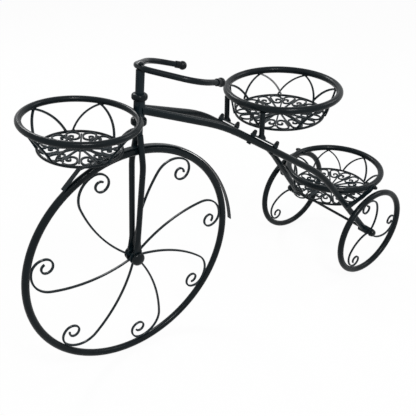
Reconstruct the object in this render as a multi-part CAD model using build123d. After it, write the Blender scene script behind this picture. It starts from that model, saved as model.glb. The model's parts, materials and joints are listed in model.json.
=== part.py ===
from build123d import *
from math import atan, atan2, cos, degrees, radians, sin, tan
import os

os.makedirs("parts", exist_ok=True)

# Driving dimensions of the whole stand, in millimetres and degrees.
# X runs along the cycle with the small wheels at +X, the near side is -Y, Z is up
# and the floor is at zero.
frame_tube = 12.7
wheelbase = 521.0
front_rim_radius = 200.0
rear_rim_radius = 93.3
rear_track = 234.6
weld_gap = 0.3
running_gap = 0.1
cut_overrun = 30.0
ring_flat = 0.1

# Wheels
spoke_wire = 3.2
front_hub_diameter = 26.0
front_hub_length = 14.4
front_hub_waist = 15.0
rear_hub_diameter = 17.0
rear_hub_length = 12.4
rear_hub_waist = 13.0
hub_flange = 3.0
front_spoke_angles = (2.3, 50.7, 106.3, 161.6, 216.8, 268.0, 316.8)
front_scroll_size = 41.0
front_scroll_lift = 8.2
front_scroll_shares = (1.0, 0.51, 0.36, 0.265, 0.21)
front_curl_angle = 150.0
rear_spoke_angles = {"near": (0.4, 109.0, 238.8), "far": (-13.0, 118.0, 226.0)}
rear_scroll_size = 30.0
rear_scroll_lift = 1.5
rear_scroll_shares = (1.0, 0.44, 0.34, 0.29, 0.24)
rear_curl_angle = 75.0

# Fork, steering tube and head
rake_angle = 6.23
fork_leg = 10.0
dropout_spacing = 19.0
dropout_width = 15.0
dropout_thickness = 4.0
dropout_length = 16.0
dropout_taper = 22.0
fork_wide_spacing = 34.0
fork_wide_height = 178.0
fork_bend_radius = 70.0
crown_rise = 20.0
steerer_tube = 13.8
steerer_rise = 35.0
head_sleeve_diameter = 18.0
head_sleeve_gap = 15.2
head_sleeve_length = 52.0
collar_diameter = 25.5
collar_round = 4.5
collar_heights = {"lower": 13.0, "upper": 11.0}
axle_rod = 6.0

# Handlebar
bar_tube = 9.5
bar_drop_angle = 10.8
bar_reach = 119.0
bar_end_half_width = 51.0
bar_elbow_reach = 62.0
bar_elbow_half_width = 68.0
bar_centre_half_width = 14.0
bar_centre_radius = 20.0
bar_elbow_radius = 50.0
bar_bolt = 5.0
bar_bolt_head = 11.0
bar_bolt_head_height = 3.4
bar_bolt_depth = 18.0
grip_ball = 15.0
grip_neck = 12.0
grip_neck_length = 5.0
grip_wall = 1.5

# Fender strip over the front wheel
fender_clearance = 0.9
fender_thickness = 1.6
fender_flare_start_angle = 40.0
fender_flare_radius = 253.0
fender_tail_angle = -3.0
fender_peak_angle = 112.4
fender_peak_rise = 9.6
fender_nose_angle = 123.0
fender_nose_rise = 0.6
fender_bend_radius = 3.2

# Backbone: two tubes, side by side at the head and spreading to the rear axle
backbone_head_reach = 35.0
backbone_head_height = 473.0
backbone_bend_reaches = (174.0, 389.0)
backbone_bend_heights = (417.5, 269.0)
backbone_bend_radii = (330.0, 260.0)
axle_sleeve_diameter = 17.0
axle_sleeve_length = 19.0

# Saddles that carry the upper basket
saddle_reach = 249.3
saddle_bolt_spacing = 58.0
saddle_strap_width = 10.0
saddle_strap_thickness = 2.4
saddle_spacer_height = 1.8
saddle_spacer_diameter = 9.6
small_bolt = 4.5
small_bolt_head = 8.4
small_bolt_head_height = 2.4
cap_nut_width = 8.0
cap_nut_hex_height = 3.6
cap_nut_dome = 7.4
cap_nut_neck = 1.2
axle_nut_width = 13.0
axle_nut_hex_height = 5.0
axle_nut_dome = 12.0
axle_nut_neck = 1.5
bolt_hole_clearance = 0.2
post_diameter = 9.5
post_reach = 247.5
post_foot_flare = 3.0
post_foot_height = 6.0

# Brackets that carry the lower basket
bracket_run = 60.0
bracket_level_run = 8.0
bracket_width = 10.0
bracket_thickness = 2.5

# Baskets: place of the rim's centre behind the front axle and above the floor
basket_wire = 3.0
rim_joint_angle = 90.0
base_ring_wire = 4.4
grille_wire = 2.6
grille_boss = 20.0
grille_boss_height = 3.0
front_rim_wire = 10.0
front_basket_radius = 86.5
front_base_radius = 62.5
front_base_shift = 0.0
front_basket_depth = 44.7
front_basket_pitch_angle = 5.6
front_basket_lean_angle = 2.0
front_arch_angles = (40.0, 116.0, 180.0, 241.0, 318.0)
front_arch_half_angles = (33.0, 34.0, 23.5, 33.0, 38.0)
front_scroll_pairs = 6
front_grille_angle = 30.0
upper_basket_reach = 341.3
upper_basket_height = 434.5
upper_basket_radius = 104.3
upper_base_radius = 83.0
upper_base_shift = -5.5
upper_basket_depth = 44.0
upper_arch_angles = (19.6, 71.0, 122.4, 173.9, 225.3, 276.7, 328.1)
upper_arch_half_angles = (28.3,) * 7
arch_crossing_step = 2.6
arch_bow_share = 0.16
upper_scroll_pairs = 8
upper_grille_angle = 40.0
lower_basket_height = 207.9
lower_basket_radius = 100.0
lower_base_radius = 80.5
lower_base_shift = -5.0
lower_basket_depth = 44.5
lower_arch_angles = (-2.5, 48.9, 100.4, 151.8, 203.2, 254.6, 306.1)
lower_arch_half_angles = (23.5,) * 7
lower_scroll_pairs = 8
lower_grille_angle = 22.0
grille_tip_share = 0.78
grille_bottom_share = 0.5
grille_turn_share = 1.5
grille_curl_reach_share = 0.66
grille_curl_shares = (0.066, 0.05, 0.038)

# Worked-out sizes and places
tube_radius = frame_tube / 2
bracket_seat = tube_radius + weld_gap + bracket_thickness / 2
front_hub_height = front_rim_radius + tube_radius
rear_hub_height = rear_rim_radius + tube_radius
tail_reach = lower_basket_radius + tube_radius
crown_height = front_hub_height + fender_clearance + fender_thickness + crown_rise
head_sleeve_bottom = crown_height + head_sleeve_gap
head_sleeve_top = head_sleeve_bottom + head_sleeve_length
steerer_height = head_sleeve_top + steerer_rise
front_axle_x = (front_hub_height - wheelbase - tail_reach) / 2
rear_axle_x = front_axle_x + wheelbase
half_track = rear_track / 2
head_frame = Location((front_axle_x, 0, front_hub_height), (0, rake_angle, 0))
sides = {"near": -1, "far": 1}


def save(name, *solids):
    """Write one sub-part."""
    body = solids[0] if len(solids) == 1 else Compound(children=list(solids))
    export_step(body, f"parts/{name}.step")


def joined(lines):
    """One path from lines and arcs that follow each other."""
    return Wire([line.edge() for line in lines])


def round_tube(path, diameter):
    """Round bar or tube along a path."""
    section = Plane(origin=path @ 0, z_dir=path % 0) * Circle(diameter / 2)
    return sweep(section, path=path)


def square_wire(path, width, flat_normal):
    """Wire of square section, with two faces square to flat_normal."""
    section = Plane(origin=path @ 0, x_dir=flat_normal, z_dir=path % 0) * Rectangle(width, width)
    return sweep(section, path=path)


def rod(diameter, bottom, top):
    """Round rod along Z from bottom to top."""
    standing = (Align.CENTER, Align.CENTER, Align.MIN)
    return Pos(0, 0, bottom) * Cylinder(diameter / 2, top - bottom, align=standing)


def half_ring(radius, wire):
    """Half of a ring of bar about Z, centred on +X: round, with a trace of a flat inside."""
    flat = Pos(ring_flat - wire / 2, 0) * Rectangle(wire, wire, align=(Align.MAX, Align.CENTER))
    section = Plane.XZ * Pos(radius, 0) * (Circle(wire / 2) - flat)
    return Rot(0, 0, -90) * revolve(section, axis=Axis.Z, revolution_arc=180)


def ring(radius, wire, cuts=()):
    """Ring of bar about Z, made of its two halves, with any cuts made first."""
    halves = [half_ring(radius, wire), Rot(0, 0, 180) * half_ring(radius, wire)]
    for cut in cuts:
        halves = [half - cut for half in halves]
    return halves[0] + halves[1]


def turned(outline):
    """Solid turned about Z from an outline of (radius, height) points."""
    return revolve(Plane.XZ * make_face(Polyline(*outline, close=True)), axis=Axis.Z)


def cap_nut(width, hex_height, dome, neck, bore):
    """Domed nut standing on z = 0, hollow where the bolt's end goes."""
    hexagon = extrude(RegularPolygon(width / 2, 6, major_radius=False), hex_height)
    top = hex_height + neck
    ball = Pos(0, 0, top) * Sphere(dome / 2)
    ball -= Pos(0, 0, top) * Box(dome, dome, dome, align=(Align.CENTER, Align.CENTER, Align.MAX))
    return hexagon + rod(dome, 0, top) + ball - rod(bore, -neck, top)


def small_cap_nut():
    """Domed nut of the saddles and brackets."""
    return cap_nut(cap_nut_width, cap_nut_hex_height, cap_nut_dome, cap_nut_neck,
                   small_bolt + 2 * running_gap)


def axle_cap_nut():
    """Domed nut of both axles."""
    return cap_nut(axle_nut_width, axle_nut_hex_height, axle_nut_dome, axle_nut_neck,
                   axle_rod + 2 * running_gap)


def on_axle(x, y, z, outward):
    """Place with local Z along the axle, pointing to the given side."""
    return Location((x, y, z), (-90 * outward, 0, 0))


def hub(diameter, waist, length):
    """Spool hub along Z with a bore for the axle rod."""
    half = length / 2
    inner = half - hub_flange
    bore = axle_rod / 2 + running_gap
    outline = [(bore, -half), (diameter / 2, -half), (diameter / 2, -inner),
               (waist / 2, -inner + hub_flange / 2), (waist / 2, inner - hub_flange / 2),
               (diameter / 2, inner), (diameter / 2, half), (bore, half)]
    return turned(outline)


def scroll_spoke(rim_radius, waist, size, lift, shares, curl_angle, turn):
    """Spoke wire in XY that bows out of the hub and ends in a scroll against the rim at +X.

    A long arc leads from the hub to the scroll, and each quarter turn of the
    scroll is tighter than the one before. The last arc curls on by curl_angle.
    """
    clear_radius = rim_radius - tube_radius - weld_gap - spoke_wire / 2
    entry_x = ((clear_radius - size) ** 2 - lift ** 2) ** 0.5
    entry_y = size + lift
    lead_radius = (entry_x ** 2 + entry_y ** 2) / (2 * entry_y)
    start = waist / 2 + weld_gap
    lead_angle = 2 * atan2(entry_y, entry_x) - start / lead_radius
    lead_start = (entry_x - lead_radius * sin(lead_angle),
                  turn * (entry_y - lead_radius * (1 - cos(lead_angle))))
    heading = (cos(lead_angle), turn * sin(lead_angle))
    lines = [JernArc(lead_start, heading, lead_radius, -turn * degrees(lead_angle))]
    angles = [90] * (len(shares) - 1) + [curl_angle]
    for share, angle in zip(shares, angles):
        lines.append(JernArc(lines[-1] @ 1, lines[-1] % 1, size * share, -turn * angle))
    return square_wire(joined(lines), spoke_wire, (0, 0, 1))


def front_wheel():
    """Large wheel: tube ring, hub and scroll spokes."""
    place = Location((front_axle_x, 0, front_hub_height), (90, 0, 0))
    save("front_rim", place * ring(front_rim_radius, frame_tube))
    save("front_hub", place * hub(front_hub_diameter, front_hub_waist, front_hub_length))
    spoke = scroll_spoke(front_rim_radius, front_hub_waist, front_scroll_size, front_scroll_lift,
                         front_scroll_shares, front_curl_angle, 1)
    for index, angle in enumerate(front_spoke_angles, start=1):
        save(f"front_spoke_{index}", place * Rot(0, 0, angle) * spoke)


def rear_wheel(side):
    """One small wheel: tube ring, hub and scroll spokes."""
    place = Location((rear_axle_x, sides[side] * half_track, rear_hub_height), (90, 0, 0))
    save(f"rear_rim_{side}", place * ring(rear_rim_radius, frame_tube))
    save(f"rear_hub_{side}", place * hub(rear_hub_diameter, rear_hub_waist, rear_hub_length))
    spoke = scroll_spoke(rear_rim_radius, rear_hub_waist, rear_scroll_size, rear_scroll_lift,
                         rear_scroll_shares, rear_curl_angle, -1)
    for index, angle in enumerate(rear_spoke_angles[side], start=1):
        save(f"rear_spoke_{side}_{index}", place * Rot(0, 0, angle) * spoke)


def fork_leg_spacing(height):
    """Half the distance between the leg centres above the wide point."""
    top = fork_leg / 2 + weld_gap / 2
    share = (crown_height - height) / (crown_height - fork_wide_height)
    return top + (fork_wide_spacing / 2 - top) * share


def fork_leg_solid(sign):
    """Bowed leg with a flattened end that takes the axle, in the steering frame."""
    drop_y = dropout_spacing / 2
    tube_start = dropout_length + dropout_taper
    line = FilletPolyline((0, drop_y * sign, tube_start),
                          (0, fork_wide_spacing / 2 * sign, fork_wide_height),
                          (0, fork_leg_spacing(crown_height + fork_leg) * sign, crown_height + fork_leg),
                          radius=fork_bend_radius)
    leg = round_tube(line, fork_leg)
    leg -= Pos(0, 0, crown_height) * above(2 * fork_wide_spacing)
    round_end = Plane(origin=line @ 0, x_dir=(1, 0, 0), z_dir=line % 0) * Circle(fork_leg / 2)
    flat_end = Plane(origin=(0, drop_y * sign, dropout_length)) * Rectangle(dropout_width, dropout_thickness)
    flat_end = fillet(flat_end.vertices(), dropout_thickness / 3)
    taper = loft([flat_end, round_end])
    tab = Plane(origin=(0, drop_y * sign, 0), x_dir=(1, 0, 0), z_dir=(0, 1, 0)) * (
        Circle(dropout_width / 2) - Circle(axle_rod / 2 + bolt_hole_clearance)
        + Pos(0, -dropout_length / 2) * Rectangle(dropout_width, dropout_length)
        - Circle(axle_rod / 2 + bolt_hole_clearance))
    tab = extrude(tab, dropout_thickness / 2, both=True)
    return leg + taper + tab


def steering_tube():
    """Steering tube, mitred at the top to the fall of the handlebar, with the bar bolt's hole."""
    tube = rod(steerer_tube, crown_height, steerer_height + steerer_tube)
    seat = bar_place() * Pos(0, 0, -bar_tube / 2)
    tube -= seat * above(4 * steerer_tube)
    return tube - bar_place() * rod(bar_bolt + 2 * running_gap, -bar_bolt_depth - running_gap, bar_tube)


def above(size):
    """Block that stands on z = 0."""
    return Box(size, size, size, align=(Align.CENTER, Align.CENTER, Align.MIN))


def bar_place():
    """Frame of the handlebar's plane on top of the steering tube, X towards the rear."""
    return Location((0, 0, steerer_height + bar_tube / 2), (0, bar_drop_angle, 0))


def bar_path():
    """Centre line of the handlebar from the near end to the far end."""
    half = [(bar_reach, bar_end_half_width), (bar_elbow_reach, bar_elbow_half_width),
            (0, bar_centre_half_width)]
    points = [(x, -y, 0) for x, y in half] + [(x, y, 0) for x, y in reversed(half)]
    radii = [bar_elbow_radius, bar_centre_radius, bar_centre_radius, bar_elbow_radius]
    return FilletPolyline(*points, radius=radii)


def handlebar():
    """Swept-back bar with a flattened, drilled centre."""
    bar = round_tube(bar_path(), bar_tube)
    return bar - rod(bar_bolt + 2 * bolt_hole_clearance, -bar_tube, bar_tube)


def bar_bolt_solid():
    """Domed bolt that holds the bar on the steering tube."""
    seat = bar_tube / 2
    head = turned([(0, seat), (bar_bolt_head / 2, seat), (bar_bolt_head / 2, seat + bar_bolt_head_height / 3),
                   (bar_bolt_head / 4, seat + bar_bolt_head_height), (0, seat + bar_bolt_head_height)])
    return head + rod(bar_bolt, -bar_bolt_depth, seat)


def grip(end, inward):
    """Ball with a neck that slips over the end of the bar."""
    place = Plane(origin=end, z_dir=inward)
    neck_end = grip_ball / 2 + grip_neck_length
    shape = Sphere(grip_ball / 2) + rod(grip_neck, 0, neck_end)
    shape -= rod(bar_tube + 2 * running_gap, -running_gap, neck_end + grip_wall)
    return place * shape


def polar(radius, angle):
    """Point of the front wheel's plane, from its hub."""
    return (radius * cos(radians(angle)), radius * sin(radians(angle)))


def fender():
    """Thin strip over the front wheel, flared behind and peaked under the front basket."""
    middle = front_rim_radius + tube_radius + fender_clearance + fender_thickness / 2
    peak = polar(middle + fender_peak_rise, fender_peak_angle)
    rise_length = ((middle + fender_peak_rise) ** 2 - middle ** 2) ** 0.5
    leave = fender_peak_angle - degrees(atan(rise_length / middle))
    start = polar(middle, fender_flare_start_angle)
    tail_turn = fender_flare_start_angle - fender_tail_angle
    tail = JernArc(start, polar(-1, fender_flare_start_angle + 90), fender_flare_radius,
                   -tail_turn * middle / fender_flare_radius)
    over = JernArc(start, polar(1, fender_flare_start_angle + 90), middle, leave - fender_flare_start_angle)
    nose = polar(middle + fender_nose_rise, fender_nose_angle)
    rise = FilletPolyline(over @ 1, peak, nose, radius=fender_bend_radius)
    width = fender_width()
    strips = [square_strip(path, width) for path in (joined([tail]), joined([over]), rise)]
    return Location((front_axle_x, 0, front_hub_height), (90, 0, 0)) * (strips[0] + strips[1] + strips[2])


def fender_width():
    """The fender just fills the gap between the fork legs."""
    height = front_rim_radius + tube_radius + fender_clearance + fender_thickness
    return 2 * (fork_leg_spacing(height) - fork_leg / 2 - weld_gap)


def square_strip(path, width):
    """Flat strip along a path in XY, with its width along Z."""
    section = Plane(origin=path @ 0, x_dir=(0, 0, 1), z_dir=path % 0) * Rectangle(width, fender_thickness)
    return sweep(section, path=path)


def fork():
    """Everything that turns with the handlebar, apart from the wheel."""
    for side, sign in sides.items():
        save(f"fork_leg_{side}", head_frame * fork_leg_solid(sign))
    save("steering_tube", head_frame * steering_tube())
    place = head_frame * bar_place()
    save("handlebar", place * handlebar())
    save("handlebar_bolt", place * bar_bolt_solid())
    path = bar_path()
    ends = {"near": (path @ 0, path % 0), "far": (path @ 1, -(path % 1))}
    for side, (end, inward) in ends.items():
        save(f"grip_{side}", place * grip(end, inward))
    save("fender", fender())
    axle_half = dropout_spacing / 2 + dropout_thickness / 2
    axle_end = axle_half + axle_nut_hex_height
    axle = rod(axle_rod, -axle_end, axle_end)
    save("front_axle", Location((front_axle_x, 0, front_hub_height), (90, 0, 0)) * axle)
    nuts = [on_axle(front_axle_x, sign * axle_half, front_hub_height, sign) * axle_cap_nut()
            for sign in (-1, 1)]
    save("front_axle_nuts", *nuts)


def collar(height):
    """Rounded ring on the end of the head sleeve, standing on z = 0."""
    ring = rod(collar_diameter, 0, height)
    ring = fillet(ring.edges().filter_by(GeomType.CIRCLE), collar_round)
    return ring - rod(head_sleeve_diameter + 2 * running_gap, -height, 2 * height)


def head():
    """Head sleeve with its two collars."""
    sleeve = rod(head_sleeve_diameter, head_sleeve_bottom, head_sleeve_top)
    sleeve -= rod(steerer_tube + 2 * running_gap, head_sleeve_bottom - cut_overrun,
                  head_sleeve_top + cut_overrun)
    save("head_sleeve", head_frame * sleeve)
    lower = Pos(0, 0, head_sleeve_bottom) * collar(collar_heights["lower"])
    upper = Pos(0, 0, head_sleeve_top - collar_heights["upper"]) * collar(collar_heights["upper"])
    save("head_collars", head_frame * lower, head_frame * upper)


def backbone_spread():
    """Angle in plan between one backbone tube and the cycle's middle plane."""
    sleeve_middle = half_track - rear_hub_length / 2 - weld_gap - axle_sleeve_length / 2
    head_side = tube_radius + weld_gap / 2
    return degrees(atan((sleeve_middle - head_side) / (wheelbase - backbone_head_reach)))


def backbone_place(sign):
    """Frame whose XZ plane holds one backbone tube, with its origin over the head end."""
    side = sign * (tube_radius + weld_gap / 2)
    return Location((front_axle_x + backbone_head_reach, side, 0), (0, 0, sign * backbone_spread()))


def along_backbone(reach):
    """Distance in the tube's own plane for a distance behind the front axle."""
    return (reach - backbone_head_reach) / cos(radians(backbone_spread()))


def backbone_points():
    """Corners of the tube's centre line in its own plane, from inside the head to the axle."""
    first_fall = ((backbone_head_height - backbone_bend_heights[0])
                  / (backbone_bend_reaches[0] - backbone_head_reach))
    inside = head_sleeve_diameter
    start = (-inside, backbone_head_height + first_fall * inside)
    corners = [(along_backbone(reach), height)
               for reach, height in zip(backbone_bend_reaches, backbone_bend_heights)]
    return [start] + corners + [(along_backbone(wheelbase), rear_hub_height)]


def backbone_tube(sign):
    """One bent tube, cut to the head sleeve and to the axle sleeve, drilled for the saddle bolts."""
    points = [(u, 0, z) for u, z in backbone_points()]
    path = FilletPolyline(*points, radius=list(backbone_bend_radii))
    tube = backbone_place(sign) * round_tube(path, frame_tube)
    tube -= head_frame * rod(head_sleeve_diameter + 2 * weld_gap, head_sleeve_bottom - cut_overrun,
                             head_sleeve_top + cut_overrun)
    tube -= on_axle(rear_axle_x, 0, rear_hub_height, sign) * rod(
        axle_sleeve_diameter + 2 * weld_gap, -half_track, half_track)
    behind = Box(4 * frame_tube, wheelbase, 8 * frame_tube, align=(Align.MAX, Align.CENTER, Align.CENTER))
    tube -= head_frame * Pos(0, 0, (head_sleeve_bottom + head_sleeve_top) / 2) * behind
    below = Box(8 * frame_tube, wheelbase, 4 * frame_tube, align=(Align.CENTER, Align.CENTER, Align.MAX))
    tube -= Pos(rear_axle_x, 0, rear_hub_height) * below
    for place in saddle_bolt_places(sign):
        tube -= place * rod(small_bolt + 2 * bolt_hole_clearance, -frame_tube, frame_tube)
    return tube


def saddle_frame(sign):
    """Frame on the tube's centre line under the saddle: X down along the tube, Z square to it."""
    corners = backbone_points()
    (u0, z0), (u1, z1) = corners[1], corners[2]
    fall = degrees(atan2(z0 - z1, u1 - u0))
    u = along_backbone(saddle_reach)
    z = z0 + (z1 - z0) * (u - u0) / (u1 - u0)
    return backbone_place(sign) * Location((u, 0, z), (0, fall, 0))


def saddle_bolt_places(sign):
    """Frames of the two bolts of one saddle, on the tube's centre line."""
    half = saddle_bolt_spacing / 2
    return [saddle_frame(sign) * Pos(offset, 0, 0) for offset in (-half, half)]


def saddle_strap(sign):
    """Flat strap with round ends, raised off the tube."""
    strap = SlotCenterToCenter(saddle_bolt_spacing, saddle_strap_width)
    for offset in (-saddle_bolt_spacing / 2, saddle_bolt_spacing / 2):
        strap -= Pos(offset, 0) * Circle(small_bolt / 2 + bolt_hole_clearance)
    bottom = tube_radius + saddle_spacer_height
    return saddle_frame(sign) * Pos(0, 0, bottom) * extrude(strap, saddle_strap_thickness)


def strap_top():
    """Height of the strap's upper face over the tube's centre line."""
    return tube_radius + saddle_spacer_height + saddle_strap_thickness


def saddle_fasteners():
    """Spacers, bolts and domed nuts of both saddles."""
    places = [place for sign in (-1, 1) for place in saddle_bolt_places(sign)]
    spacer = rod(saddle_spacer_diameter, tube_radius, tube_radius + saddle_spacer_height)
    spacer -= rod(small_bolt + 2 * bolt_hole_clearance, 0, 2 * tube_radius)
    save("saddle_spacers", *[place * spacer for place in places])
    head_bottom = -tube_radius - small_bolt_head_height
    bolt = rod(small_bolt_head, head_bottom, -tube_radius) + rod(small_bolt, head_bottom,
                                                                strap_top() + cap_nut_hex_height)
    save("saddle_bolts", *[place * bolt for place in places])
    nut = Pos(0, 0, strap_top()) * small_cap_nut()
    save("saddle_nuts", *[place * nut for place in places])


def upper_post(sign):
    """Upright under the upper basket's rim with a flared weld on the saddle strap."""
    frame_at = saddle_frame(sign)
    strap_plane = Plane(frame_at * Pos(0, 0, strap_top() + weld_gap))
    x = front_axle_x + post_reach
    y = sign * (tube_radius + weld_gap / 2 + along_backbone(post_reach) * sin(radians(backbone_spread())))
    top = upper_basket_height - tube_radius - weld_gap
    foot = strap_plane.origin.Z + (strap_plane.origin.X - x) * tan(radians(saddle_fall()))
    post = Pos(x, y, 0) * rod(post_diameter, foot - post_diameter, top)
    flare = turned([(0, foot - post_diameter), (post_diameter / 2 + post_foot_flare, foot - post_diameter),
                    (post_diameter / 2 + post_foot_flare, foot), (post_diameter / 2, foot + post_foot_height),
                    (0, foot + post_foot_height)])
    post += Pos(x, y, 0) * flare
    below = frame_at * Pos(0, 0, strap_top() + weld_gap) * Box(
        4 * cut_overrun, 4 * cut_overrun, cut_overrun, align=(Align.CENTER, Align.CENTER, Align.MAX))
    return post - below


def saddle_fall():
    """Slope of the saddle in the cycle's middle plane."""
    corners = backbone_points()
    (u0, z0), (u1, z1) = corners[1], corners[2]
    return degrees(atan((z0 - z1) / (u1 - u0) / cos(radians(backbone_spread()))))


def axle_parts():
    """Rear axle rod, its sleeves under the backbone ends and its domed nuts."""
    hub_half = rear_hub_length / 2
    nut_seat = half_track + hub_half + weld_gap
    rod_end = nut_seat + axle_nut_hex_height
    place = Location((rear_axle_x, 0, rear_hub_height), (90, 0, 0))
    save("rear_axle", place * rod(axle_rod, -rod_end, rod_end))
    outer = half_track - hub_half - weld_gap
    inner = outer - axle_sleeve_length
    sleeve = rod(axle_sleeve_diameter, inner, outer)
    sleeve -= rod(axle_rod + 2 * running_gap, inner - cut_overrun, outer + cut_overrun)
    save("axle_sleeves", *[on_axle(rear_axle_x, 0, rear_hub_height, sign) * sleeve for sign in (-1, 1)])
    nuts = [on_axle(rear_axle_x, sign * nut_seat, rear_hub_height, sign) * axle_cap_nut() for sign in (-1, 1)]
    save("rear_axle_nuts", *nuts)


def backbone():
    """Both tubes with the saddles, posts and rear axle."""
    for side, sign in sides.items():
        save(f"backbone_{side}", backbone_tube(sign))
        save(f"saddle_strap_{side}", saddle_strap(sign))
        save(f"upper_post_{side}", upper_post(sign))
    saddle_fasteners()
    axle_parts()


def on_ring(radius, angle, shift=0, height=0):
    """Point on a ring about Z whose centre is moved along X and Z."""
    return Vector(shift + radius * cos(radians(angle)), radius * sin(radians(angle)), height)


def arch_limb(foot, peak, angle, side):
    """Bowed wire from the base ring to the peak, bulging sideways in the basket's wall."""
    sideways = Vector(-sin(radians(angle)), cos(radians(angle)), 0) * side
    middle = (foot + peak) / 2 + sideways * arch_bow_share * (peak - foot).length
    path = ThreePointArc(foot, middle, peak)
    return square_wire(path, basket_wire, path.normal())


def arch(rim_radius, rim_wire, base_radius, base_shift, depth, angle, half_angle, side_step):
    """Pointed arch whose limbs spring from the base ring and meet under the rim.

    One foot stands outside the basket's wall by side_step and the other inside it,
    so that neighbours whose feet cross pass each other.
    """
    crest = on_ring(rim_radius, angle)
    rise = (crest - on_ring(base_radius, angle, base_shift, -depth)).normalized()
    peak = crest - rise * (rim_wire / 2)
    limbs = []
    for side in (-1, 1):
        foot_angle = angle + side * half_angle
        outward = on_ring(side * side_step, foot_angle)
        foot = on_ring(base_radius, foot_angle, base_shift, -depth) + outward
        limbs.append(arch_limb(foot, peak, (angle + foot_angle) / 2, side))
    turn = Rot(0, 0, angle)
    wires = limbs[0] + limbs[1] - turn * half_ring(rim_radius, rim_wire + 2 * weld_gap)
    wires -= Pos(base_shift, 0, -depth) * turn * half_ring(base_radius, base_ring_wire + 2 * weld_gap)
    return wires - Pos(0, 0, grille_wire / 2 + weld_gap - depth) * Rot(180, 0, 0) * above(4 * rim_radius)


def grille(pairs, angle, base_radius):
    """Rosette in the plane z = 0: boss, long and short spokes, and a scroll pair on each short spoke."""
    boss_edge = grille_boss / 2 + weld_gap
    tip = grille_tip_share * base_radius
    solids = [Pos(0, 0, -grille_boss_height / 2) * rod(grille_boss, 0, grille_boss_height)]
    standing = (Align.MIN, Align.CENTER, Align.CENTER)
    reach = tip + grille_wire - boss_edge
    spoke = Pos(boss_edge, 0, 0) * Box(reach, grille_wire, grille_wire, align=standing)
    scroll = grille_scroll(180 / pairs, base_radius)
    for index in range(pairs):
        turn = Rot(0, 0, angle + index * 360 / pairs)
        solids += [turn * spoke, turn * Rot(0, 0, 180 / pairs) * spoke, turn * scroll,
                   turn * mirror(scroll, about=Plane.XZ)]
    return solids


def grille_crown(half_angle, tip, side, edge):
    """Radii of a scroll's first two arcs, which touch the base ring and the long spoke.

    The scroll starts at the tip, beside the short spoke by side, and edge is the
    radius that its line may reach.
    """
    across = cos(radians(half_angle))
    along = sin(radians(half_angle))
    level = (tip * along - side * (1 + across)) / (1 + along)
    fall = (across - along) / (1 + along)
    square = 2 + 2 * fall
    linear = 2 * (tip - level) * (1 + fall) + 2 * side - 2 * (edge - level) * fall
    rest = (tip - level) ** 2 + side ** 2 - (edge - level) ** 2
    first = (-linear + (linear ** 2 - 4 * square * rest) ** 0.5) / (2 * square)
    return first, level - fall * first


def grille_side(half_angle, start, side, bottom):
    """Run along the long spoke, and the radius of the turn after it that reaches in to bottom."""
    across = cos(radians(half_angle))
    along = sin(radians(half_angle))
    part = 1 / (1 + grille_turn_share * across)
    inward = grille_turn_share * part * (1 - along)
    run = (start.X - bottom - inward * (start.Y - side)) / (across - inward * along)
    return run, part * (start.Y - run * along - side)


def grille_scroll(half_angle, base_radius):
    """Scroll beside a short spoke at +X: out to the base ring, back along the long spoke and into a curl."""
    side = grille_wire + weld_gap
    tip = grille_tip_share * base_radius
    edge = base_radius - base_ring_wire / 2 - weld_gap - grille_wire / 2
    first, second = grille_crown(half_angle, tip, side, edge)
    lines = [JernArc((tip, side), (1, 0), first, 90)]
    lines.append(JernArc(lines[-1] @ 1, lines[-1] % 1, second, 90 + half_angle))
    run, turn = grille_side(half_angle, lines[-1] @ 1, side, grille_bottom_share * base_radius)
    lines.append(ahead(lines[-1], run))
    lines.append(JernArc(lines[-1] @ 1, lines[-1] % 1, turn * grille_turn_share, 90 - half_angle))
    lines.append(JernArc(lines[-1] @ 1, lines[-1] % 1, turn, 90))
    lines.append(ahead(lines[-1], grille_curl_reach_share * base_radius - (lines[-1] @ 1).X))
    for share in grille_curl_shares:
        lines.append(JernArc(lines[-1] @ 1, lines[-1] % 1, share * base_radius, 90))
    return square_wire(joined(lines), grille_wire, (0, 0, 1))


def ahead(line, length):
    """Straight run on from the end of a line."""
    return Line(line @ 1, line @ 1 + (line % 1) * length)


def basket(name, place, rim_radius, rim_wire, base_radius, base_shift, depth, arch_angles, half_angles,
           side_step, scroll_pairs, grille_angle, rim_cuts=()):
    """Four nodes of one basket: rim, arches, base ring and grille."""
    rim_place = place * Rot(0, 0, rim_joint_angle)
    cuts = [rim_place.inverse() * cut for cut in rim_cuts]
    save(f"{name}_basket_rim", rim_place * ring(rim_radius, rim_wire, cuts))
    arches = [arch(rim_radius, rim_wire, base_radius, base_shift, depth, angle, half_angle, side_step)
              for angle, half_angle in zip(arch_angles, half_angles)]
    save(f"{name}_basket_arches", *[place * wires for wires in arches])
    floor = place * Pos(base_shift, 0, -depth)
    save(f"{name}_basket_base_ring", floor * ring(base_radius, base_ring_wire))
    laid = [floor * piece for piece in grille(scroll_pairs, grille_angle, base_radius)]
    save(f"{name}_basket_grille", *laid)


def front_basket_place():
    """Rim frame of the front basket, whose rear edge seats on the head sleeve between the collars."""
    seat = (head_sleeve_bottom + collar_heights["lower"] + head_sleeve_top - collar_heights["upper"]) / 2
    clearance = head_sleeve_diameter / 2 + weld_gap + front_rim_wire / 2
    rear_x = front_axle_x + seat * sin(radians(rake_angle)) - clearance / cos(radians(rake_angle))
    rear_z = front_hub_height + seat * cos(radians(rake_angle))
    pitch = radians(front_basket_pitch_angle)
    centre = (rear_x - front_basket_radius * cos(pitch), 0, rear_z + front_basket_radius * sin(pitch))
    return Location(centre, (front_basket_lean_angle, front_basket_pitch_angle, 0))


def bracket_places():
    """Reach and height of a lower basket bracket's bolt and of its end on the tube."""
    corners = backbone_points()
    (u0, z0), (u1, z1) = corners[2], corners[3]
    reach = wheelbase - bracket_run
    tail_height = z0 + (z1 - z0) * (along_backbone(reach) - u0) / (u1 - u0)
    return (wheelbase, lower_basket_height), (reach, tail_height)


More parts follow.
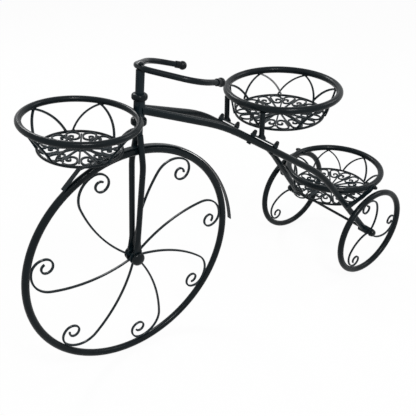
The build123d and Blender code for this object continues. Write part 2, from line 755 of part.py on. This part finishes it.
def beside_tube(reach):
    """Distance from the middle plane to the bracket's place along the tube's outer side."""
    spread = radians(backbone_spread())
    outward = (reach - backbone_head_reach) * tan(spread)
    return tube_radius + weld_gap / 2 + bracket_seat / cos(spread) + outward


def bracket_sheet(sign, height):
    """Tall strip along the bracket in plan: level with the rim at the bolt, then along the tube."""
    head_y = lower_basket_radius + bracket_seat
    tail = wheelbase - bracket_run
    end = tail - bracket_width
    points = [(wheelbase + bracket_width, head_y), (wheelbase - bracket_level_run, head_y),
              (tail, beside_tube(tail)), (end, beside_tube(end))]
    path = Polyline(*[(front_axle_x + reach, sign * y, 0) for reach, y in points])
    section = Plane(origin=path @ 0, x_dir=(0, 0, 1), z_dir=path % 0) * Rectangle(height, bracket_thickness)
    return sweep(section, path=path, transition=Transition.RIGHT)


def bracket_bar(sign):
    """Bent flat bar with round ends between the tube's side and the rim's side."""
    (head, head_height), (tail, tail_height) = bracket_places()
    run = head - tail
    rise = head_height - tail_height
    middle = Pos(front_axle_x + (head + tail) / 2, (head_height + tail_height) / 2)
    length = (run ** 2 + rise ** 2) ** 0.5
    slot = Rot(0, 0, degrees(atan2(rise, run))) * SlotCenterToCenter(length, bracket_width)
    outline = extrude(Plane.XZ * middle * slot, rear_track, both=True)
    return bracket_sheet(sign, 4 * head_height) & outline


def bracket_parts(sign):
    """Bar, bolt and domed nut of one lower basket bracket, and the bolt's hole."""
    place = on_axle(rear_axle_x, sign * (lower_basket_radius + bracket_seat), lower_basket_height, sign)
    half = bracket_thickness / 2
    inner = -half - 2 * weld_gap - frame_tube
    bolt = rod(small_bolt_head, inner - small_bolt_head_height, inner)
    bolt += rod(small_bolt, inner - small_bolt_head_height, half + cap_nut_hex_height)
    nut = Pos(0, 0, half) * small_cap_nut()
    hole = place * rod(small_bolt + 2 * bolt_hole_clearance, inner - weld_gap, half + weld_gap)
    return bracket_bar(sign) - hole, place * bolt, place * nut, hole


def baskets():
    """The three baskets and the lower one's brackets."""
    basket("front", front_basket_place(), front_basket_radius, front_rim_wire, front_base_radius,
           front_base_shift, front_basket_depth, front_arch_angles, front_arch_half_angles, 0,
           front_scroll_pairs, front_grille_angle)
    upper = Pos(front_axle_x + upper_basket_reach, 0, upper_basket_height)
    basket("upper", upper, upper_basket_radius, frame_tube, upper_base_radius, upper_base_shift,
           upper_basket_depth, upper_arch_angles, upper_arch_half_angles, arch_crossing_step,
           upper_scroll_pairs, upper_grille_angle)
    brackets = {side: bracket_parts(sign) for side, sign in sides.items()}
    lower = Pos(rear_axle_x, 0, lower_basket_height)
    basket("lower", lower, lower_basket_radius, frame_tube, lower_base_radius, lower_base_shift,
           lower_basket_depth, lower_arch_angles, lower_arch_half_angles, 0,
           lower_scroll_pairs, lower_grille_angle, rim_cuts=[parts[3] for parts in brackets.values()])
    for side, parts in brackets.items():
        save(f"lower_bracket_{side}", parts[0])
    save("lower_bracket_bolts", *[parts[1] for parts in brackets.values()])
    save("lower_bracket_nuts", *[parts[2] for parts in brackets.values()])


front_wheel()
for wheel_side in sides:
    rear_wheel(wheel_side)
fork()
head()
backbone()
baskets()
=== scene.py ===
import itertools
import json
import math

import bmesh
import bpy
import numpy as np
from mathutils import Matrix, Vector, noise
from mathutils.bvhtree import BVHTree


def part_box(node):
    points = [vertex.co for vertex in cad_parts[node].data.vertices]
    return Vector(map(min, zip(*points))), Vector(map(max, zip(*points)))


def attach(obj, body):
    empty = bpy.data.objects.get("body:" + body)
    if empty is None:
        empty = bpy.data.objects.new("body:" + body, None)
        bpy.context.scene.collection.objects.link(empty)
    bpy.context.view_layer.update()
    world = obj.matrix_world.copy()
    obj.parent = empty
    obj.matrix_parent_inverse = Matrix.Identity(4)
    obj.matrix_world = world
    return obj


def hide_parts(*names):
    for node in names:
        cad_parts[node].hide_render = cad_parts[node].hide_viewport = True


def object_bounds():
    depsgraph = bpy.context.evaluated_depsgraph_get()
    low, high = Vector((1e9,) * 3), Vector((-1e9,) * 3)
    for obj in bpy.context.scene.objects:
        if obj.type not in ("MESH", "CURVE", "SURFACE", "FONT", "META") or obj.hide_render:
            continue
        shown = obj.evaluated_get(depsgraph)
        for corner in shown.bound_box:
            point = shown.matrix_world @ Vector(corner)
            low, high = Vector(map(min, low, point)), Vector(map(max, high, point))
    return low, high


# All lengths are in metres.

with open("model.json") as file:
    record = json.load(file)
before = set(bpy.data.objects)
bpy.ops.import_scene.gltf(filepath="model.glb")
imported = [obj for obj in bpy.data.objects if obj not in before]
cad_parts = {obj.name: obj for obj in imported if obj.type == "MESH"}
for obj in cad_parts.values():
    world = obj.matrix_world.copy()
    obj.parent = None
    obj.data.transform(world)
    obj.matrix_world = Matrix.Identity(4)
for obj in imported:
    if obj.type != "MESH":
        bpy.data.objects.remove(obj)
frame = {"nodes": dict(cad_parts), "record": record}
CAD_LOW, CAD_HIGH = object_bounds()
NODES = frame["nodes"]
SLOTS = {part["node"]: part["material_slot"] for part in frame["record"]["subparts"]}


# Materials

# Noise as scale, detail and roughness
MOTTLE_NOISE = (38.0, 4.0, 0.6)
GLOSS_NOISE = (120.0, 3.0, 0.55)
FINE_PEEL_NOISE = (900.0, 2.0, 0.5)
BROAD_PEEL_NOISE = (260.0, 2.0, 0.4)
FLOOR_NOISE = (3.0, 3.0, 0.5)

# The part of a noise's values that is spread over a colour or a gloss
NOISE_LOW = 0.3
NOISE_HIGH = 0.7

# Edges are paler, from and to these values of pointiness
EDGE_FROM = 0.54
EDGE_TO = 0.66
EDGE_SHARE = 0.6
EDGE_PALER = 2.6

FINE_PEEL_DEPTH = 0.0003
BROAD_PEEL_DEPTH = 0.0008
BROAD_PEEL_SHARE = 0.6
SPECULAR_LEVEL = 0.08
COAT_ROUGHNESS = 0.10


class Graph:
    """A small helper that builds one material's node tree."""

    def __init__(self, name):
        self.material = bpy.data.materials.new(name)
        self.material.use_nodes = True
        self.tree = self.material.node_tree
        self.shader = self.tree.nodes["Principled BSDF"]
        coords = self.tree.nodes.new("ShaderNodeTexCoord")
        self.place = coords.outputs["Object"]

    def link(self, source, target):
        self.tree.links.new(source, target)

    def noise(self, scale, detail, rough):
        node = self.tree.nodes.new("ShaderNodeTexNoise")
        node.inputs["Scale"].default_value = scale
        node.inputs["Detail"].default_value = detail
        node.inputs["Roughness"].default_value = rough
        self.link(self.place, node.inputs["Vector"])
        return node.outputs["Fac"]

    def mottle(self, value, dark, light):
        """A colour that runs from dark to light with the value."""
        node = self.tree.nodes.new("ShaderNodeValToRGB")
        stops = [(NOISE_LOW, dark), (NOISE_HIGH, light)]
        for element, (at, colour) in zip(node.color_ramp.elements, stops):
            element.position = at
            element.color = (*colour, 1.0)
        self.link(value, node.inputs["Fac"])
        return node.outputs["Color"]

    def span(self, value, low, high, out_low, out_high):
        node = self.tree.nodes.new("ShaderNodeMapRange")
        node.inputs["From Min"].default_value = low
        node.inputs["From Max"].default_value = high
        node.inputs["To Min"].default_value = out_low
        node.inputs["To Max"].default_value = out_high
        self.link(value, node.inputs["Value"])
        return node.outputs["Result"]

    def bump(self, value, strength, distance, under=None):
        node = self.tree.nodes.new("ShaderNodeBump")
        node.inputs["Strength"].default_value = strength
        node.inputs["Distance"].default_value = distance
        self.link(value, node.inputs["Height"])
        if under is not None:
            self.link(under, node.inputs["Normal"])
        return node.outputs["Normal"]

    def set(self, socket, value):
        self.shader.inputs[socket].default_value = value


def coated_steel(name, dark, light, rough_low, rough_high, grain, gloss_coat):
    """Satin powder coat: mottled, a little paler on edges, with an orange peel and uneven gloss."""
    g = Graph(name)
    mottle = g.mottle(g.noise(*MOTTLE_NOISE), dark, light)
    edge = g.tree.nodes.new("ShaderNodeNewGeometry").outputs["Pointiness"]
    worn = tuple(EDGE_PALER * c for c in light)
    mix = g.tree.nodes.new("ShaderNodeMix")
    mix.data_type = "RGBA"
    g.link(g.span(edge, EDGE_FROM, EDGE_TO, 0.0, EDGE_SHARE), mix.inputs["Factor"])
    g.link(mottle, mix.inputs["A"])
    mix.inputs["B"].default_value = (*worn, 1.0)
    g.link(mix.outputs["Result"], g.shader.inputs["Base Color"])
    gloss = g.span(g.noise(*GLOSS_NOISE), NOISE_LOW, NOISE_HIGH, rough_low, rough_high)
    g.link(gloss, g.shader.inputs["Roughness"])
    fine = g.bump(g.noise(*FINE_PEEL_NOISE), grain, FINE_PEEL_DEPTH)
    broad_noise = g.noise(*BROAD_PEEL_NOISE)
    broad = g.bump(broad_noise, grain * BROAD_PEEL_SHARE, BROAD_PEEL_DEPTH, under=fine)
    g.link(broad, g.shader.inputs["Normal"])
    g.set("Specular IOR Level", SPECULAR_LEVEL)
    g.set("Coat Weight", gloss_coat)
    g.set("Coat Roughness", COAT_ROUGHNESS)
    return g.material


PAINT = coated_steel(
    "black_powder_coat",
    dark=(0.0014, 0.0040, 0.0056),
    light=(0.0040, 0.0080, 0.0102),
    rough_low=0.24,
    rough_high=0.42,
    grain=0.30,
    gloss_coat=0.10,
)
FASTENER = coated_steel(
    "black_fastener",
    dark=(0.0016, 0.0036, 0.0048),
    light=(0.0044, 0.0076, 0.0092),
    rough_low=0.20,
    rough_high=0.32,
    grain=0.10,
    gloss_coat=0.16,
)
GRIP = coated_steel(
    "black_grip",
    dark=(0.0016, 0.0032, 0.0040),
    light=(0.0040, 0.0064, 0.0074),
    rough_low=0.22,
    rough_high=0.34,
    grain=0.08,
    gloss_coat=0.14,
)
WELD = coated_steel(
    "painted_weld",
    dark=(0.0014, 0.0040, 0.0056),
    light=(0.0044, 0.0084, 0.0106),
    rough_low=0.32,
    rough_high=0.50,
    grain=0.60,
    gloss_coat=0.08,
)
BY_SLOT = {"black_paint": PAINT, "black_fastener": FASTENER, "black_grip": GRIP}


def dress_cad():
    for name, node in NODES.items():
        node.data.materials.clear()
        node.data.materials.append(BY_SLOT[SLOTS[name]])


dress_cad()


# Objects of the scene

def add_object(name, data):
    """A scene object that holds the data."""
    added = bpy.data.objects.new(name, data)
    bpy.context.scene.collection.objects.link(added)
    return added


def add_piece(name, mesh, material):
    """A smooth piece made from a bmesh, which is freed."""
    data = bpy.data.meshes.new(name)
    mesh.to_mesh(data)
    mesh.free()
    data.shade_smooth()
    data.materials.append(material)
    return add_object(name, data)


def aim(thing, place, target):
    """Stands a lamp or camera at a place and turns it towards a target."""
    thing.location = place
    thing.rotation_mode = "QUATERNION"
    thing.rotation_quaternion = (Vector(target) - Vector(place)).to_track_quat("-Z", "Y")


# Weld beads, where painted pieces of one body meet

WELD_REACH = 0.0010
BEAD_OVER = 0.0007
BEAD_LIMIT = 0.0055
CLUSTER_STEP = 0.0045
BEAD_SUBDIVISIONS = 3
LUMP_SHARE = 0.16
LUMP_PITCH = 1.7
RIPPLE_SHARE = 0.05
RIPPLE_PITCH = 9.0

# Keeps a bead's three axes defined where its points are few or in one line
AXIS_GUARD = 1e-6


def surface(name):
    """The node's corners, its search tree and its box."""
    mesh = NODES[name].data
    points = [v.co.copy() for v in mesh.vertices]
    faces = [tuple(p.vertices) for p in mesh.polygons]
    return points, BVHTree.FromPolygons(points, faces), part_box(name)


def within(point, low, high, margin):
    """Whether the point lies in the box grown by the margin."""
    return all(low[i] - margin <= point[i] <= high[i] + margin for i in range(3))


def near(points, tree, box):
    """The middle of each gap between a point and the surface that is within a weld's reach."""
    low, high = box
    found = []
    for point in points:
        if not within(point, low, high, WELD_REACH):
            continue
        place = tree.find_nearest(point, WELD_REACH)[0]
        if place is not None:
            found.append((point + place) / 2)
    return found


def clusters(points):
    """Points that lie close together, as one list for each weld."""
    groups = []
    for point in points:
        close = [g for g in groups if any((point - other).length < CLUSTER_STEP for other in g)]
        merged = [point]
        for group in close:
            merged += group
            groups.remove(group)
        groups.append(merged)
    return groups


def bead(mesh, points, seed):
    """Adds a lumpy bead where two pieces meet, unless the place is longer than a bead."""
    spots = np.array(points)
    middle = spots.mean(axis=0)
    spread = spots - middle
    guarded = np.vstack([spread, np.eye(3) * AXIS_GUARD])
    axes = np.linalg.svd(guarded, full_matrices=False)[2]
    reach = np.abs(spread @ axes.T).max(axis=0)
    if reach.max() > BEAD_LIMIT:
        return False
    half = reach + BEAD_OVER
    ball = bmesh.ops.create_icosphere(mesh, subdivisions=BEAD_SUBDIVISIONS, radius=1.0)["verts"]
    for vertex in ball:
        unit = vertex.co.copy()
        lump = 1.0 + LUMP_SHARE * noise.noise(unit * LUMP_PITCH + Vector((seed, 0, 0)))
        ripple = 1.0 + RIPPLE_SHARE * math.sin(RIPPLE_PITCH * unit.x)
        local = np.array(unit) * half * lump * ripple
        vertex.co = Vector(middle + local @ axes)
    return True


def make_welds():
    """One piece of weld beads for each body."""
    for body, names in frame["record"]["behaviour"]["bodies"].items():
        painted = [n for n in names if SLOTS[n] == "black_paint"]
        shapes = {n: surface(n) for n in painted}
        mesh = bmesh.new()
        count = 0
        for first, second in itertools.combinations(painted, 2):
            a, b = shapes[first], shapes[second]
            meet = near(a[0], b[1], b[2]) + near(b[0], a[1], a[2])
            for group in clusters(meet):
                count += bead(mesh, group, count)
        if not mesh.verts:
            mesh.free()
            continue
        piece = add_piece("welds_" + body, mesh, WELD)
        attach(piece, body)
        print("welds", body, count)


make_welds()


# Domed caps on the axle ends

CAP_STEPS = 64
CAP_RINGS = 20
CAP_LIP = 0.0012
CAP_FOOT_SHARE = 0.98
CAP_DOME_POWER = 0.85
FRONT_CAP_RADIUS = 0.0122
FRONT_CAP_HEIGHT = 0.0078
REAR_CAP_RADIUS = 0.0078
REAR_CAP_HEIGHT = 0.0074


def cap_profile(radius, height):
    """Radius and height pairs, from the foot over a short lip and up a flattened dome."""
    rise = height - CAP_LIP
    rows = [(radius * CAP_FOOT_SHARE, 0.0)]
    for ring in range(CAP_RINGS):
        turn = math.pi / 2 * ring / CAP_RINGS
        rows.append((radius * math.cos(turn) ** CAP_DOME_POWER, CAP_LIP + rise * math.sin(turn)))
    return rows


def add_cap(mesh, centre, sign, radius, height):
    """A cap that stands on the plane through centre and points along the axle."""
    rows = []
    for ring_radius, rise in cap_profile(radius, height):
        row = []
        for step in range(CAP_STEPS):
            turn = 2 * math.pi * step / CAP_STEPS
            across = ring_radius * math.cos(turn)
            upward = ring_radius * math.sin(turn)
            row.append(mesh.verts.new(centre + Vector((across, sign * rise, upward))))
        rows.append(row)
    top = mesh.verts.new(centre + Vector((0, sign * height, 0)))
    for lower, upper in zip(rows, rows[1:]):
        for step in range(CAP_STEPS):
            after = (step + 1) % CAP_STEPS
            mesh.faces.new((lower[step], lower[after], upper[after], upper[step]))
    for step in range(CAP_STEPS):
        mesh.faces.new((rows[-1][step], rows[-1][(step + 1) % CAP_STEPS], top))
    mesh.faces.new(rows[0][::-1])


def make_caps(name, node, body, radius, height):
    """One cap at each end of the axle, standing where the node's nuts stand."""
    low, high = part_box(node)
    middle = (Vector(low) + Vector(high)) / 2
    corners = [v.co for v in NODES[node].data.vertices]
    mesh = bmesh.new()
    for sign in (-1, 1):
        seat = min(sign * p.y for p in corners if sign * p.y > 0)
        add_cap(mesh, Vector((middle.x, sign * seat, middle.z)), sign, radius, height)
    bmesh.ops.recalc_face_normals(mesh, faces=mesh.faces)
    piece = add_piece(name, mesh, FASTENER)
    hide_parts(node)
    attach(piece, body)


make_caps("front_axle_caps", "front_axle_nuts", "fork", FRONT_CAP_RADIUS, FRONT_CAP_HEIGHT)
make_caps("rear_axle_caps", "rear_axle_nuts", "frame", REAR_CAP_RADIUS, REAR_CAP_HEIGHT)


# Floor, lights and camera

FLOOR_HALF = 30.0
FLOOR_DROP = 0.0002
FLOOR_DARK = (0.90, 0.90, 0.90)
FLOOR_LIGHT = (0.93, 0.93, 0.93)
FLOOR_ROUGHNESS = 0.75
FLOOR_WHITE_SHARE = 0.94
WORLD_STRENGTH = 0.45
WORLD_WHITE_SHARE = 1.0
CAMERA_PLACE = (-0.6293, -0.7409, 0.8370)
CAMERA_TARGET = (-0.04527, 0.0, 0.24127)
CAMERA_SENSOR = 36.0
CAMERA_LENS = 51.54
CAMERA_SHIFT = -0.0005


def show_white(tree, shader, output, share):
    """Seen straight or in a mirror, this share of the surface is plain white."""
    path = tree.nodes.new("ShaderNodeLightPath")
    seen = tree.nodes.new("ShaderNodeMath")
    seen.operation = "MAXIMUM"
    tree.links.new(path.outputs["Is Camera Ray"], seen.inputs[0])
    tree.links.new(path.outputs["Is Glossy Ray"], seen.inputs[1])
    part = tree.nodes.new("ShaderNodeMath")
    part.operation = "MULTIPLY"
    part.inputs[1].default_value = share
    tree.links.new(seen.outputs["Value"], part.inputs[0])
    white = tree.nodes.new("ShaderNodeEmission")
    mix = tree.nodes.new("ShaderNodeMixShader")
    tree.links.new(part.outputs["Value"], mix.inputs["Fac"])
    tree.links.new(shader, mix.inputs[1])
    tree.links.new(white.outputs["Emission"], mix.inputs[2])
    tree.links.new(mix.outputs["Shader"], output)


def floor_material():
    g = Graph("floor_white")
    colour = g.mottle(g.noise(*FLOOR_NOISE), FLOOR_DARK, FLOOR_LIGHT)
    g.link(colour, g.shader.inputs["Base Color"])
    g.set("Roughness", FLOOR_ROUGHNESS)
    output = g.tree.nodes["Material Output"].inputs["Surface"]
    show_white(g.tree, g.shader.outputs["BSDF"], output, FLOOR_WHITE_SHARE)
    return g.material


def make_floor():
    mesh = bpy.data.meshes.new("floor")
    signs = [(-1, -1), (1, -1), (1, 1), (-1, 1)]
    corners = [(x * FLOOR_HALF, y * FLOOR_HALF, 0) for x, y in signs]
    mesh.from_pydata(corners, [], [(0, 1, 2, 3)])
    mesh.materials.append(floor_material())
    floor = add_object("floor", mesh)
    floor.location.z = CAD_LOW.z - FLOOR_DROP


def make_world():
    world = bpy.data.worlds.new("studio")
    bpy.context.scene.world = world
    world.use_nodes = True
    tree = world.node_tree
    background = tree.nodes["Background"]
    background.inputs["Color"].default_value = (1.0, 1.0, 1.0, 1.0)
    background.inputs["Strength"].default_value = WORLD_STRENGTH
    output = tree.nodes["World Output"].inputs["Surface"]
    show_white(tree, background.outputs["Background"], output, WORLD_WHITE_SHARE)


def area_light(name, place, target, size, power):
    data = bpy.data.lights.new(name, "AREA")
    data.shape = "SQUARE"
    data.size = size
    data.energy = power
    aim(add_object(name, data), place, target)


def make_camera():
    """The photograph's view: 38 degrees round from the side, 32 degrees up."""
    data = bpy.data.cameras.new("photo_view")
    data.sensor_width = CAMERA_SENSOR
    data.lens = CAMERA_LENS
    data.shift_x = CAMERA_SHIFT
    camera = add_object("photo_view", data)
    aim(camera, CAMERA_PLACE, CAMERA_TARGET)
    bpy.context.scene.camera = camera


make_floor()
make_world()
area_light("key", place=(-0.5, -1.6, 2.2), target=(0, 0, 0.25), size=0.55, power=30.0)
area_light("fill", place=(1.8, -0.6, 1.6), target=(0, 0, 0.25), size=0.8, power=10.0)
area_light("back", place=(0.2, 1.8, 1.8), target=(0, 0, 0.3), size=0.55, power=18.0)
make_camera()
bpy.context.scene.view_settings.view_transform = "Standard"
